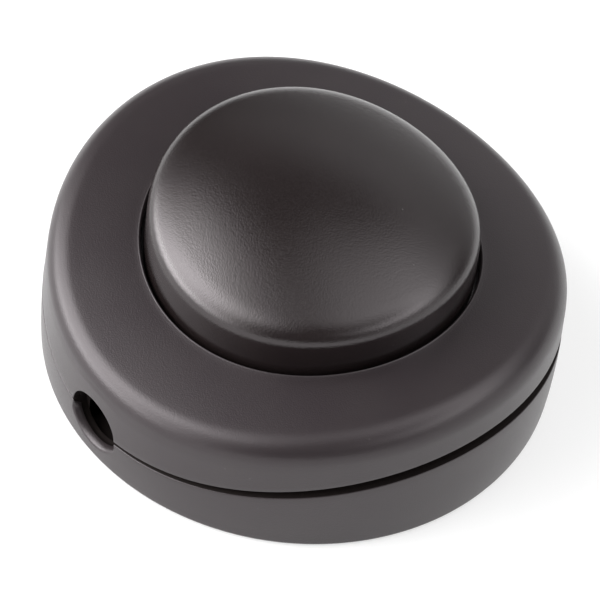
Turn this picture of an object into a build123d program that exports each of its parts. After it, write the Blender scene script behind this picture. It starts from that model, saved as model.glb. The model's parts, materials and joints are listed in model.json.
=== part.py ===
from build123d import *
import math
import os

# Foot switch, in millimetres. X runs along the cord, Y along the ridge of the arched top, Z is up.
# The origin lies on the floor, under the middle of the button.

# Housing
housing_radius = 34.0
base_draft = 0.45
cover_draft = 0.2
wall = 2.2
floor = 2.2
foot_edge_radius = 0.8
seam_ridge = 13.1
seam_fall = 6.55
top_ridge = 21.7
top_fall = 5.85
shoulder_radius = 3.5

# Seam: the cover lies close to the base at one inlet and stands open towards the front right
closed_gap = 0.12
open_gap = 0.76
open_tilt_x = 1.02
open_tilt_y = 1.80
lip_height = 3.0
lip_thickness = 0.95
lip_clearance = 0.25

# Cord inlets and cord clamps
inlet_radius = 4.4
inlet_depth = 3.9
flare_rise = 0.6
flare_length = 1.0
clamp_gap = 0.4
clamp_spacing = 12.8
clamp_boss_radius = 2.2
clamp_boss_height = 7.4
clamp_width = 4.0
clamp_thickness = 2.0
saddle_height = 4.6
saddle_width = 7.0
cord_rib_thickness = 1.6
cord_rib_height = 6.0

# Push button
hole_radius = 22.05
hole_edge_radius = 0.3
button_clearance = 0.45
skirt_thickness = 1.8
crown_thickness = 2.0
edge_height = 6.3
crown_rise = 4.0
crown_edge_radius = 3.0
travel = 4.0
flange_overlap = 1.45
flange_thickness = 1.6
flange_clearance = 0.15
key_reach = 1.8
key_width = 4.0
key_clearance = 0.4
key_rib_thickness = 1.4
key_rib_clearance = 1.4
button_tube_thickness = 2.0
button_rib_thickness = 1.2
button_rib_bottom = 24.5

# Screw bosses of the housing
boss_radius = 3.0
boss_clearance = 0.4
base_boss_radius = 3.6
boss_joint_drop = 1.6
counterbore_radius = 2.6
counterbore_depth = 5.0
boss_screw_radius = 1.4
boss_screw_grip = 5.5

# Push-to-turn mechanism
pin_radius = 1.0
running_clearance = 0.05
pin_seat_height = 4.2
pin_seat_radius = 3.2
pin_depth = 3.0
pin_end = 0.5
step_angle = 45.0
spline_count = 4
spline_root_radius = 2.5
spline_tip_radius = 3.8
spline_width = 1.4
spline_clearance = 0.3
spline_top = 21.0
hub_radius = 3.2
wheel_radius = 9.0
wheel_rise = 0.7
wheel_thickness = 0.9
wheel_hub_rise = 1.1
tooth_count = 8
tooth_height = 0.9
tooth_inner_radius = 4.6
tooth_outer_radius = 7.6
notch_radius = 0.6
disc_radius = 8.0
disc_thickness = 1.4
pawl_count = 2
pawl_height = 0.6
pawl_clearance = 0.3
bridge_inset = 0.5
bridge_thickness = 0.5
bridge_width = 5.0
contact_inset = 0.4
contact_radius = 1.5
contact_height = 0.5
contact_gap = 0.3

# Frame over the rotor, plunger and return spring
frame_margin = 1.65
frame_thickness = 1.6
frame_clearance = 0.2
frame_hole_clearance = 0.4
frame_arm_length = 5.5
frame_arm_width = 7.0
column_radius = 2.6
frame_screw_radius = 1.2
frame_screw_depth = 5.0
plunger_wall = 1.5
plunger_bottom_clearance = 0.5
collar_margin = 0.45
collar_thickness = 1.5
collar_top = 23.5
spigot_step = 0.6
spigot_length = 3.5
wire_diameter = 1.1
spring_gap = 1.25
spring_turns = 4.5
spring_rim_height = 1.2
spring_rim_thickness = 1.0
spring_end_clearance = 0.05

# Detent spring
leaf_thickness = 0.4
leaf_height = 2.6
leaf_half_length = 8.0
leaf_nose = 0.8
leaf_post_width = 2.2
leaf_post_depth = 2.6
leaf_post_height = 7.0

# Terminals and contacts
terminal_y = 9.5
terminal_length = 7.0
terminal_width = 6.0
terminal_height = 6.0
wire_bore_radius = 1.5
wire_bore_height = 2.4
blade_width = 3.6
blade_thickness = 0.5
blade_gap = 0.6
link_thickness = 1.2
link_height = 3.5
link_gap = 1.7
pocket_wall = 1.2
pocket_height = 3.4
pocket_clearance = 0.2
terminal_screw_radius = 1.4

# Screw heads
head_radius = 2.1
head_height = 1.5
head_chamfer = 0.35
slot_width = 0.6
slot_depth = 0.8

# Values that follow from the sizes above
UP = (Align.CENTER, Align.CENTER, Align.MIN)
inner_radius = housing_radius - wall
base_foot_radius = housing_radius - base_draft
cover_top_radius = housing_radius - cover_draft
wall_root = inner_radius + wall / 4
lip_radius = inner_radius + lip_thickness
arch_length = 4 * housing_radius
tall = 3 * top_ridge
low_seam = seam_ridge - seam_fall
boss_reach = inner_radius - boss_radius - boss_clearance
boss_joint_height = seam_ridge - boss_joint_drop
button_radius = hole_radius - button_clearance
flange_radius = hole_radius + flange_overlap
wheel_bottom = pin_seat_height + wheel_rise
wheel_top = wheel_bottom + wheel_thickness
wheel_hub_top = wheel_top + wheel_hub_rise
bridge_radius = wheel_radius - bridge_inset
contact_reach = bridge_radius - contact_radius - contact_inset
pawl_tip = wheel_top + tooth_height + pawl_clearance
disc_bottom = pawl_tip + pawl_height
disc_top = disc_bottom + disc_thickness
pin_top = spline_top + pin_end
frame_bottom = disc_top + frame_clearance
frame_top = frame_bottom + frame_thickness
plunger_radius = spline_tip_radius + spline_clearance + plunger_wall
plunger_bottom = disc_top + travel + plunger_bottom_clearance
spigot_radius = plunger_radius - spigot_step
spring_radius = plunger_radius + spring_gap + wire_diameter / 2
spring_length = collar_top - collar_thickness - frame_top
collar_radius = spring_radius + wire_diameter / 2 + collar_margin
spring_rim_radius = spring_radius + wire_diameter / 2 + frame_hole_clearance
frame_radius = spring_rim_radius + spring_rim_thickness + frame_margin
frame_arm_reach = frame_radius + frame_arm_length
lead = travel * 360.0 / step_angle
leaf_nose_y = wheel_radius + contact_gap + leaf_thickness / 2
leaf_y = leaf_nose_y + leaf_nose
pocket_half_length = terminal_length / 2 + pocket_clearance + pocket_wall
blade_corner = leaf_half_length + blade_gap + blade_width / 2
terminal_x = blade_corner + blade_width / 2 + pocket_half_length
link_y = wheel_radius + link_gap + link_thickness / 2
blade_top = floor + blade_thickness
terminal_top = blade_top + terminal_height
clamp_reach = terminal_x + pocket_half_length + clamp_boss_radius + clamp_gap
clamp_top = clamp_boss_height + clamp_thickness
key_rib_bottom = clamp_top + key_rib_clearance


def arch_radius(fall):
    """Radius of the arch that falls by this much at the housing's two ends."""
    return (housing_radius**2 + fall**2) / (2 * fall)


def arch_drop(fall, distance):
    """How far the arch has fallen at this distance from its ridge."""
    radius = arch_radius(fall)
    return radius - math.sqrt(radius**2 - distance**2)


def under_arch(ridge, fall, inset=0.0):
    """Everything below an arched surface whose ridge runs along Y."""
    radius = arch_radius(fall)
    return Pos(0, 0, ridge - radius) * Rot(90, 0, 0) * Cylinder(radius - inset, arch_length)


def disc(radius, bottom, top):
    return Pos(0, 0, bottom) * Cylinder(radius, top - bottom, align=UP)


def drafted(bottom_radius, top_radius, bottom, top):
    """Round solid that tapers from the bottom to the top and runs on as far again above."""
    far_radius = 2 * top_radius - bottom_radius
    return Pos(0, 0, bottom) * Cone(bottom_radius, far_radius, 2 * (top - bottom), align=UP)


def pillar(place, radius, bottom, top):
    """Upright round bar at a place."""
    return Pos(*place) * disc(radius, bottom, top)


def upper_edges(shape, height):
    """Edges that lie wholly above a height."""
    return [edge for edge in shape.edges() if edge.bounding_box().min.Z > height]


def ring(outer, inner, bottom, top):
    return disc(outer, bottom, top) - disc(inner, bottom, top)


def at_angles(shape, count):
    """Copies of a shape, evenly turned about Z."""
    return [Rot(0, 0, i * 360.0 / count) * shape for i in range(count)]


def both_ends(shape):
    return [shape, Rot(0, 0, 180) * shape]


def block(x, y, z, center_x=0.0, center_y=0.0, bottom=0.0):
    return Pos(center_x, center_y, bottom) * Box(x, y, z, align=UP)


def screw(radius, length):
    """Slotted screw that points down, with the underside of its head at the origin."""
    body = disc(head_radius, 0, head_height)
    body = chamfer(body.edges().group_by(Axis.Z)[-1], head_chamfer)
    body -= block(2 * head_radius, slot_width, slot_depth, bottom=head_height - slot_depth)
    return body + disc(radius, -length, 0)


def inlet_plane(x):
    """Upright plane across an inlet, centred on it."""
    return Plane(origin=(x, 0, low_seam), x_dir=(0, 1, 0), z_dir=(1, 0, 0))


def inlet_opening():
    """Cutter along X through one end, round above its middle and shallower below."""
    upper_half = Rectangle(2 * inlet_radius, inlet_radius, align=(Align.CENTER, Align.MIN))
    outline = Ellipse(inlet_radius, inlet_depth) + (Circle(inlet_radius) & upper_half)
    return extrude(inlet_plane(inner_radius - wall) * outline, 3 * wall)


def inlet_flare():
    """Cutter that widens the mouth of the inlet's lower half towards the outside."""
    sections = []
    for x, extra in ((housing_radius - flare_length, 0), (housing_radius, flare_rise)):
        sections.append(inlet_plane(x) * Ellipse(inlet_radius + extra, inlet_depth + extra))
    return loft(sections)


def boss_places():
    return [(0, boss_reach), (0, -boss_reach)]


def column_places():
    return [(0, frame_arm_reach), (0, -frame_arm_reach)]


def clamp_places(side):
    return [(side * clamp_reach, clamp_spacing / 2), (side * clamp_reach, -clamp_spacing / 2)]


def terminal_places():
    return [(x, y) for y in (terminal_y, -terminal_y) for x in (-terminal_x, terminal_x)]


def make_base():
    shell = drafted(base_foot_radius, housing_radius, 0, seam_ridge)
    shell = fillet(shell.edges().group_by(Axis.Z)[0], foot_edge_radius)
    shell &= under_arch(seam_ridge, seam_fall)
    shell -= both_ends(inlet_flare())
    shell += disc(lip_radius, floor, tall) & under_arch(seam_ridge + lip_height, seam_fall)
    shell -= both_ends(inlet_opening())
    shell -= disc(inner_radius, floor, tall)
    inside = [disc(pin_seat_radius, floor / 2, pin_seat_height)]
    inside += [pillar(place, base_boss_radius, floor / 2, boss_joint_height) for place in boss_places()]
    inside += [pillar(place, column_radius, floor / 2, frame_bottom) for place in column_places()]
    inside += both_ends(clamp_seat())
    inside += [leaf_post(side) for side in (-1, 1)]
    inside += [terminal_pocket(x, y) for x, y in terminal_places()]
    room = disc(wall_root, 0, tall)
    for piece in inside:
        shell += piece & room
    for place in boss_places():
        shell -= pillar(place, counterbore_radius, 0, counterbore_depth)
        shell -= pillar(place, boss_screw_radius + running_clearance, 0, boss_joint_height)
    for place in column_places():
        shell -= pillar(place, frame_screw_radius, frame_bottom - frame_screw_depth, frame_bottom)
    for place in clamp_places(-1) + clamp_places(1):
        shell -= pillar(place, boss_screw_radius, floor, clamp_boss_height)
    return shell - disc(pin_radius, pin_seat_height - pin_depth, pin_seat_height)


def clamp_seat():
    """Two screw bosses, their ribs to the wall and the saddle under the cord, at one end."""
    rib_length = housing_radius - clamp_reach
    seat = block(wall, saddle_width, saddle_height - floor / 2, center_x=clamp_reach, bottom=floor / 2)
    for x, y in clamp_places(1):
        seat += pillar((x, y), clamp_boss_radius, floor / 2, clamp_boss_height)
        seat += block(rib_length, cord_rib_thickness, cord_rib_height, x + rib_length / 2, y, floor / 2)
    return seat


def leaf_post(side):
    """Slotted post that holds one end of the detent spring."""
    x = side * (leaf_half_length - leaf_post_width / 2)
    post = block(leaf_post_width, leaf_post_depth, leaf_post_height - floor / 2, x, leaf_y, floor / 2)
    slot = block(tall, leaf_thickness, tall, x, leaf_y, leaf_post_height - leaf_height)
    return post - slot


def terminal_pocket(x, y):
    """Moulded walls round a terminal, open along the wire."""
    length = terminal_length + 2 * pocket_clearance
    width = terminal_width + 2 * pocket_clearance
    height = pocket_height + floor / 2
    pocket = block(2 * pocket_half_length, width + 2 * pocket_wall, height, x, y, floor / 2)
    pocket -= block(length, width, tall, x, y, floor)
    return pocket - block(tall / 2, terminal_width - pocket_wall, tall, x, y, floor)


def make_cover():
    outer = drafted(housing_radius, cover_top_radius, low_seam, top_ridge)
    outer &= under_arch(top_ridge, top_fall)
    outer = fillet(upper_edges(outer, low_seam + wall), shoulder_radius)
    inner = drafted(inner_radius, cover_top_radius - wall, low_seam, top_ridge)
    inner &= under_arch(top_ridge, top_fall, inset=wall)
    inner = fillet(upper_edges(inner, low_seam + wall), shoulder_radius - wall)
    cover = outer - inner - disc(hole_radius, low_seam, tall)
    cover = fillet(hole_rim(cover), hole_edge_radius)
    roof = under_arch(top_ridge, top_fall, inset=wall / 2)
    wall_room = disc(cover_top_radius - wall / 2, low_seam, tall)
    inside = boss_feet() + key_ribs()
    for piece in inside:
        cover += piece & roof & wall_room
    for place in boss_places():
        cover -= pillar(place, boss_screw_radius, boss_joint_height, boss_joint_height + boss_screw_grip)
    rebate = ring(lip_radius + lip_clearance, inner_radius - lip_clearance, 0, tall)
    cover -= rebate & under_arch(seam_ridge + lip_height + lip_clearance, seam_fall)
    for below in (under_arch(seam_ridge + closed_gap, seam_fall), tilted_seam()):
        cover -= below - inside
    return cover - both_ends(inlet_opening())


def hole_rim(cover):
    """Upper edges of the button hole."""
    lowest = top_ridge - arch_drop(top_fall, hole_radius) - wall / 2
    return [edge for edge in upper_edges(cover, lowest) if edge.bounding_box().max.Y < hole_radius + wall]


def boss_feet():
    """The cover's screw bosses, which reach below the seam down to the base."""
    return [pillar(place, boss_radius, boss_joint_height, tall) for place in boss_places()]


def tilted_seam():
    """Everything below the cover's edge where it stands open."""
    return Rot(-open_tilt_y, -open_tilt_x, 0) * under_arch(seam_ridge + open_gap, seam_fall)


def key_ribs():
    """Two pairs of ribs under the cover's top that keep the button from turning."""
    start = flange_radius + key_clearance
    end = inner_radius - shoulder_radius
    offset = key_width / 2 + key_clearance + key_rib_thickness / 2
    ribs = []
    for side in (-1, 1):
        for y in (-offset, offset):
            center = side * (start + end) / 2
            ribs.append(block(end - start, key_rib_thickness, tall, center, y, key_rib_bottom))
    return ribs


def crown(thickness):
    """Solid under the button's crown, which is curved more along X so that its edge follows the top."""
    rise_x = crown_rise + arch_drop(top_fall, button_radius)
    radius_x = (button_radius**2 + rise_x**2) / (2 * rise_x)
    radius_y = (button_radius**2 + crown_rise**2) / (2 * crown_rise)
    apex = top_ridge + edge_height + crown_rise
    half = (button_radius + radius_x) / 2 - thickness
    drop = radius_x - thickness - math.sqrt((radius_x - thickness) ** 2 - half**2)
    axis_z = apex - radius_y
    left = (-half, apex - thickness - drop)
    right = (half, apex - thickness - drop)
    arc = ThreePointArc(left, (0, apex - thickness), right)
    sides = Polyline(right, (half, axis_z), (-half, axis_z), left)
    profile = Plane.XZ * make_face([arc, sides])
    return revolve(profile, Axis((0, 0, axis_z), (1, 0, 0)))


def make_button():
    flange_top = wall + flange_clearance
    flange_bottom = flange_top + flange_thickness
    below = under_arch(top_ridge, top_fall, inset=flange_bottom)
    outer = disc(button_radius, 0, tall) & crown(0)
    outer = fillet(upper_edges(outer, top_ridge - top_fall), crown_edge_radius)
    inner = disc(button_radius - skirt_thickness, 0, tall) & crown(crown_thickness)
    button = outer - inner
    flange = ring(flange_radius, button_radius - skirt_thickness, 0, tall)
    key_center = flange_radius + (key_reach - flange_overlap) / 2
    for side in (-1, 1):
        flange += block(key_reach + flange_overlap, key_width, tall, side * key_center)
    flange -= [pillar(place, boss_radius + boss_clearance, 0, tall) for place in boss_places()]
    button += flange & under_arch(top_ridge, top_fall, inset=flange_top)
    button -= below
    room = disc(button_radius - skirt_thickness / 2, 0, tall) & crown(crown_thickness / 2)
    button += disc(spigot_radius + button_tube_thickness, collar_top, tall) & room
    for angle in (45, 135):
        button += Rot(0, 0, angle) * block(tall, button_rib_thickness, tall, bottom=button_rib_bottom) & room
    return button - disc(spigot_radius + running_clearance, collar_top, collar_top + spigot_length)


def spline_outline(extra):
    """Round shaft with splines, larger all round by the extra amount."""
    outline = Circle(spline_root_radius + extra)
    teeth = Rectangle(2 * (spline_tip_radius + extra), spline_width + 2 * extra)
    for i in range(spline_count // 2):
        outline += Rot(0, 0, i * 360.0 / spline_count) * teeth
    return outline & Circle(spline_tip_radius + extra)


def helical_spline(extra, bottom, top):
    """Steep helical spline; one press turns it by one step. All pieces of it share one phase."""
    phase = (bottom - disc_top) * 360.0 / lead
    section = Pos(0, 0, bottom) * Rot(0, 0, phase) * spline_outline(extra)
    turn = (top - bottom) * 360.0 / lead
    return Solid.extrude_linear_with_rotation(section.face(), (0, 0, bottom), (0, 0, top - bottom), turn)


def make_plunger():
    body = disc(plunger_radius, plunger_bottom, collar_top)
    body += disc(collar_radius, collar_top - collar_thickness, collar_top)
    body += disc(spigot_radius, collar_top, collar_top + spigot_length)
    return body - helical_spline(spline_clearance, plunger_bottom, collar_top + spigot_length)


def ratchet_tooth(inner, outer, count, height):
    """Saw tooth that rises round one step, standing on the XY plane."""
    middle = (inner + outer) / 2
    length = 2 * math.pi * middle / count
    profile = Polyline((-length / 2, 0), (length / 2, 0), (length / 2, height), close=True)
    tooth = extrude(Plane.XZ * make_face(profile), outer - inner)
    return Rot(0, 0, -90) * Pos(0, outer, 0) * tooth


def make_rotor():
    rotor = disc(disc_radius, disc_bottom, disc_top)
    rotor += disc(hub_radius, wheel_hub_top + running_clearance, disc_bottom)
    pawl = ratchet_tooth(tooth_inner_radius, tooth_outer_radius, 2 * tooth_count, pawl_height)
    for copy in at_angles(Pos(0, 0, disc_bottom) * Rot(180, 0, 0) * pawl, pawl_count):
        rotor += copy
    rotor += helical_spline(0, disc_top, spline_top)
    return rotor - disc(pin_radius + running_clearance, 0, tall)


def make_wheel():
    wheel = disc(wheel_radius, wheel_bottom, wheel_top)
    wheel += disc(hub_radius, pin_seat_height + running_clearance, wheel_hub_top)
    tooth = ratchet_tooth(tooth_inner_radius, tooth_outer_radius, tooth_count, tooth_height)
    tooth = Pos(0, 0, wheel_top) * tooth & disc(wheel_radius, wheel_top, tall)
    for copy in at_angles(tooth, tooth_count):
        wheel += copy
    wheel -= at_angles(pillar((0, wheel_radius), notch_radius, wheel_bottom, wheel_top), tooth_count)
    return wheel - disc(pin_radius + running_clearance, 0, tall)


def make_bridge():
    low = wheel_bottom - bridge_thickness
    strip = block(2 * bridge_radius, bridge_width, bridge_thickness, bottom=low)
    plate = (strip + disc(hub_radius + bridge_width / 2, low, wheel_bottom)) & disc(bridge_radius, 0, tall)
    for side in (-1, 1):
        point = pillar((side * contact_reach, 0), contact_radius, low - contact_height, low)
        plate += fillet(point.edges().group_by(Axis.Z)[0], contact_height / 2)
    plate -= disc(hub_radius, 0, tall)
    return Rot(0, 0, step_angle) * plate


def make_frame():
    outline = Circle(frame_radius) + Rot(0, 0, 90) * SlotCenterToCenter(2 * frame_arm_reach, frame_arm_width)
    plate = Pos(0, 0, frame_bottom) * extrude(outline, frame_thickness)
    rim_outer = spring_rim_radius + spring_rim_thickness
    rim_bottom = frame_top - frame_thickness / 2
    plate += ring(rim_outer, spring_rim_radius, rim_bottom, frame_top + spring_rim_height)
    plate -= disc(plunger_radius + frame_hole_clearance, 0, tall)
    for place in column_places():
        plate -= pillar(place, frame_screw_radius + running_clearance, 0, tall)
    return plate


def make_spring():
    radius = wire_diameter / 2
    rise = spring_length - wire_diameter - 2 * spring_end_clearance
    start = frame_top + radius + spring_end_clearance
    path = Helix(rise / spring_turns, rise, spring_radius, center=(0, 0, start))
    section = Plane(origin=path @ 0, z_dir=path % 0) * Circle(radius)
    return sweep(section, path=path, is_frenet=True)


def make_detent():
    """Leaf spring with a nose that points at the notches of the wheel."""
    bend = 2 * notch_radius + leaf_nose
    half = [(-leaf_half_length, leaf_y), (-bend, leaf_y)]
    path = Polyline(*half, (0, leaf_nose_y), *[(-x, y) for x, y in reversed(half)])
    leaf = extrude(trace(path, line_width=leaf_thickness), leaf_height)
    return Pos(0, 0, leaf_post_height - leaf_height) * leaf


def terminal_body(x, y, bottom):
    """Brass block with a bore along the wire and a hole for its screw."""
    body = block(terminal_length, terminal_width, terminal_height, x, y, bottom)
    body = chamfer(body.edges().filter_by(Axis.Z), pocket_clearance)
    bore = Pos(x, y, bottom + wire_bore_height) * Rot(0, 90, 0) * Cylinder(wire_bore_radius, terminal_length)
    hole = Pos(x, y, bottom + wire_bore_height) * Cylinder(terminal_screw_radius, terminal_height, align=UP)
    return body - bore - hole


def make_link():
    """Two terminals joined by a strip that passes in front of the wheel."""
    left = terminal_body(-terminal_x, -terminal_y, floor)
    right = terminal_body(terminal_x, -terminal_y, floor)
    length = 2 * terminal_x - terminal_length + pocket_clearance
    strip = block(length, link_thickness, link_height, 0, -link_y, floor)
    return left + right + strip


def make_blade(side):
    """Flat fixed contact from under a terminal to a raised contact point under the bridge."""
    end = (side * contact_reach, 0)
    path = Polyline((side * terminal_x, terminal_y), (side * blade_corner, terminal_y), end)
    strip = Pos(0, 0, floor) * extrude(trace(path, line_width=blade_width), blade_thickness)
    strip += pillar(end, blade_width / 2, floor, blade_top)
    point_top = wheel_bottom - bridge_thickness - contact_height - contact_gap
    return strip + pillar(end, contact_radius, floor, point_top)


def make_clamp(side):
    """Bar over the cord, rounded at its ends, with a rib that grips the cord."""
    outline = Rot(0, 0, 90) * SlotOverall(clamp_spacing + clamp_width, clamp_width)
    bar = Pos(side * clamp_reach, 0, clamp_boss_height) * extrude(outline, clamp_thickness)
    rib_length = saddle_width - clamp_width / 2
    bar += block(wall / 2, rib_length, clamp_thickness, side * clamp_reach, 0, clamp_boss_height - wall / 2)
    for place in clamp_places(side):
        bar -= pillar(place, boss_screw_radius + running_clearance, 0, tall)
    return bar


def make_terminal_screws():
    length = terminal_height - wire_bore_height - wire_bore_radius
    screws = []
    for x, y in terminal_places():
        top = terminal_top if y > 0 else floor + terminal_height
        screws.append(Pos(x, y, top) * screw(terminal_screw_radius, length))
    return screws


def make_housing_screws():
    length = boss_joint_height - counterbore_depth + boss_screw_grip
    upward = Rot(180, 0, 0) * screw(boss_screw_radius, length)
    return [Pos(x, y, counterbore_depth) * upward for x, y in boss_places()]


def make_clamp_screws():
    places = clamp_places(-1) + clamp_places(1)
    return [Pos(x, y, clamp_top) * screw(boss_screw_radius, clamp_top - floor) for x, y in places]


def make_frame_screws():
    length = frame_thickness + frame_screw_depth
    return [Pos(x, y, frame_top) * screw(frame_screw_radius, length) for x, y in column_places()]


pieces = {
    "base_housing": [make_base()],
    "cover_housing": [make_cover()],
    "push_button": [make_button()],
    "plunger": [make_plunger()],
    "return_spring": [make_spring()],
    "ratchet_rotor": [make_rotor()],
    "contact_wheel": [make_wheel()],
    "contact_bridge": [make_bridge()],
    "pivot_pin": [disc(pin_radius, pin_seat_height - pin_depth, pin_top)],
    "mechanism_frame": [make_frame()],
    "detent_spring": [make_detent()],
    "contact_blade_in": [make_blade(-1)],
    "contact_blade_out": [make_blade(1)],
    "live_terminal_in": [terminal_body(-terminal_x, terminal_y, blade_top)],
    "live_terminal_out": [terminal_body(terminal_x, terminal_y, blade_top)],
    "neutral_link": [make_link()],
    "cord_clamp_in": [make_clamp(-1)],
    "cord_clamp_out": [make_clamp(1)],
    "terminal_screws": make_terminal_screws(),
    "clamp_screws": make_clamp_screws(),
    "frame_screws": make_frame_screws(),
    "housing_screws": make_housing_screws(),
}

os.makedirs("parts", exist_ok=True)
for name, shapes in pieces.items():
    solids = [solid for shape in shapes for solid in shape.solids()]
    shape = solids[0] if len(solids) == 1 else Compound(children=solids)
    export_step(shape, f"parts/{name}.step")
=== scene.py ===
import json
import math

import bmesh
import bpy
import numpy as np
from mathutils import Matrix, Vector


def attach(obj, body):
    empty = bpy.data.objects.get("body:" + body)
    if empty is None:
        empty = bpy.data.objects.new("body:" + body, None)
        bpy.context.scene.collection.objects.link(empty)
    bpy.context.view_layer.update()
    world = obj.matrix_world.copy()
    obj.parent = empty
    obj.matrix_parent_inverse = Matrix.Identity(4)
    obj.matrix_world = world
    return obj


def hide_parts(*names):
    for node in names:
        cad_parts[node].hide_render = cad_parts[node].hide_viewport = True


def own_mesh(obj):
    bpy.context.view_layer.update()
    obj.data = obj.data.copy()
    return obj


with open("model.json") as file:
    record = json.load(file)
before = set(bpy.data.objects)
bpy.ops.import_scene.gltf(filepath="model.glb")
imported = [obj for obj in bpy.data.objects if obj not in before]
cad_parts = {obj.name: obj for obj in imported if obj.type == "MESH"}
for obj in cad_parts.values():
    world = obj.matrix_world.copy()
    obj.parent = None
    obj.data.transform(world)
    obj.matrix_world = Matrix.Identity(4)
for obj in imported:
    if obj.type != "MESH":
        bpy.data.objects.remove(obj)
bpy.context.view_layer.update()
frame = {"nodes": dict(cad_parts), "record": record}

# Foot switch. X runs along the cord, Y along the ridge of the arched top, Z is up.
# Sizes are in millimetres.
MM = 0.001
HOUSING_RADIUS = 34.0
FOOT_RADIUS = 33.55
FOOT_EDGE_RADIUS = 0.8
COVER_TOP_RADIUS = 33.8
WALL = 2.2
FLOOR = 2.2
INNER_RADIUS = HOUSING_RADIUS - WALL
SEAM_RIDGE = 13.1
SEAM_FALL = 6.55
LOW_SEAM = SEAM_RIDGE - SEAM_FALL
TOP_RIDGE = 21.7
TOP_FALL = 5.85
SHOULDER_RADIUS = 3.5

# Seam: the cover lies close to the base at one inlet and stands open towards the front right
CLOSED_GAP = 0.12
BASE_DROP = 0.32
OPEN_GAP = 0.76
OPEN_TILT_X = math.radians(1.02)
OPEN_TILT_Y = math.radians(1.35)
SEAM_ROUNDING = 0.1
COVER_EDGE_ROUNDING = 0.08
LIP_HEIGHT = 3.0
LIP_RADIUS = INNER_RADIUS + 0.95
REBATE_RADIUS = LIP_RADIUS + 0.25
REBATE_RISE = LIP_HEIGHT + 0.25

# Cord inlets: half round in the cover, a slightly shallower notch with a rolled mouth in the base
INLET_HEIGHT = LOW_SEAM
INLET_RADIUS = 4.4
INLET_DEPTH = 3.6
FLARE_RISE = 0.65
FLARE_LENGTH = 1.4
FLARE_FADE = 0.4

# Push button
HOLE_RADIUS = 22.05
HOLE_EDGE_RADIUS = 0.3
BEAD_HEIGHT = 0.055
BEAD_WIDTH = 0.3
BEAD_INSET = 0.1
BUTTON_RADIUS = 21.6
BUTTON_APEX = 32.0
CROWN_RISE = 4.0
CROWN_EDGE_SETBACK = 3.2
CROWN_EDGE_DROP = 2.4
CROWN_EDGE_CONTROLS = (1.0, 0.65, 0.25)
CROWN_THICKNESS = 2.0
SKIRT_INNER_RADIUS = 19.8
FLANGE_RADIUS = 23.5
FLANGE_TOP = 2.35
FLANGE_BOTTOM = 3.95
KEY_REACH = 25.3
KEY_HALF_WIDTH = 2.0

# Inner forms stand on a root inside the floor, and a hole is cut a little past its open end
ROOT = FLOOR / 2
CUT_MARGIN = 0.5

# Pivot, bosses of the housing screws and columns of the mechanism's frame
PIVOT_RADIUS = 3.2
PIVOT_TOP = 4.2
PIVOT_HOLE_RADIUS = 1.0
PIVOT_HOLE_BOTTOM = 1.2
BOSS = (0, 28.4)
BOSS_RADIUS = 3.6
BOSS_TOP = 11.5
BOSS_HOLE_RADIUS = 1.45
COUNTERBORE_RADIUS = 2.6
COUNTERBORE_DEPTH = 5.0
COLUMN = (0, 16.5)
COLUMN_RADIUS = 2.6
COLUMN_TOP = 9.2
COLUMN_HOLE_RADIUS = 1.2
COLUMN_HOLE_BOTTOM = 4.2

# Seats of the cord clamps, posts of the leaf spring and pockets of the terminals
CLAMP = (24.6, 6.4)
CLAMP_BOSS_RADIUS = 2.2
CLAMP_BOSS_TOP = 7.4
CLAMP_HOLE_RADIUS = 1.4
CLAMP_HOLE_BOTTOM = 2.3
CLAMP_RIB_END = 31.9
CLAMP_RIB_WIDTH = 1.6
CLAMP_RIB_TOP = 7.1
SADDLE = (24.6, 0)
SADDLE_SIZE = (2.2, 7.0)
SADDLE_TOP = 4.6
LEAF_X = 6.9
LEAF_Y = 10.3
LEAF_POST_SIZE = (2.2, 2.6)
LEAF_POST_TOP = 7.0
LEAF_SLOT_SIZE = (2.6, 0.4)
LEAF_SLOT_BOTTOM = 4.4
POCKET = (17.1, 9.5)
POCKET_WALL_SIZE = (9.8, 1.2)
POCKET_WALL_OFFSET = 3.8
POCKET_END_SIZE = (1.2, 2.0)
POCKET_END_OFFSET = (4.3, 3.4)
POCKET_TOP = 5.6

# Boss feet and key ribs of the cover
BOSS_FOOT_RADIUS = 3.0
BOSS_FOOT_TOP = 20.6
BOSS_FOOT_HOLE_RADIUS = 1.4
BOSS_FOOT_HOLE_TOP = 17.0
KEY_RIB = (26.1, 3.1)
KEY_RIB_SIZE = (4.4, 1.4)
KEY_RIB_BOTTOM = 10.8
KEY_RIB_TOP = 16.95

# Plunger's tube and crossed ribs under the crown
TUBE_RADIUS = 7.0
TUBE_BOTTOM = 23.5
TUBE_TOP = 30.4
TUBE_HOLE_RADIUS = 5.05
TUBE_HOLE_TOP = 27.0
CROWN_RIB_REACH = 20.5
CROWN_RIB_WIDTH = 1.2
CROWN_RIB_BOTTOM = 24.5
CROWN_RIB_ROOT = 1.0
CROWN_RIB_TURNS = (math.pi / 4, 3 * math.pi / 4)

# Return spring
WIRE_RADIUS = 0.55
SPRING_RADIUS = 7.4
SPRING_BOTTOM = 10.8
SPRING_TOP = 22.0
SPRING_TURNS = 4.5

# Mesh columns: half of the seam, an inlet's corner to its middle, a lip's end, and round the button
SEAM_COLUMNS = 170
NOTCH_COLUMNS = 22
LIP_COLUMNS = 6
BUTTON_COLUMNS = 210
KEY_COLUMNS = 5

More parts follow.
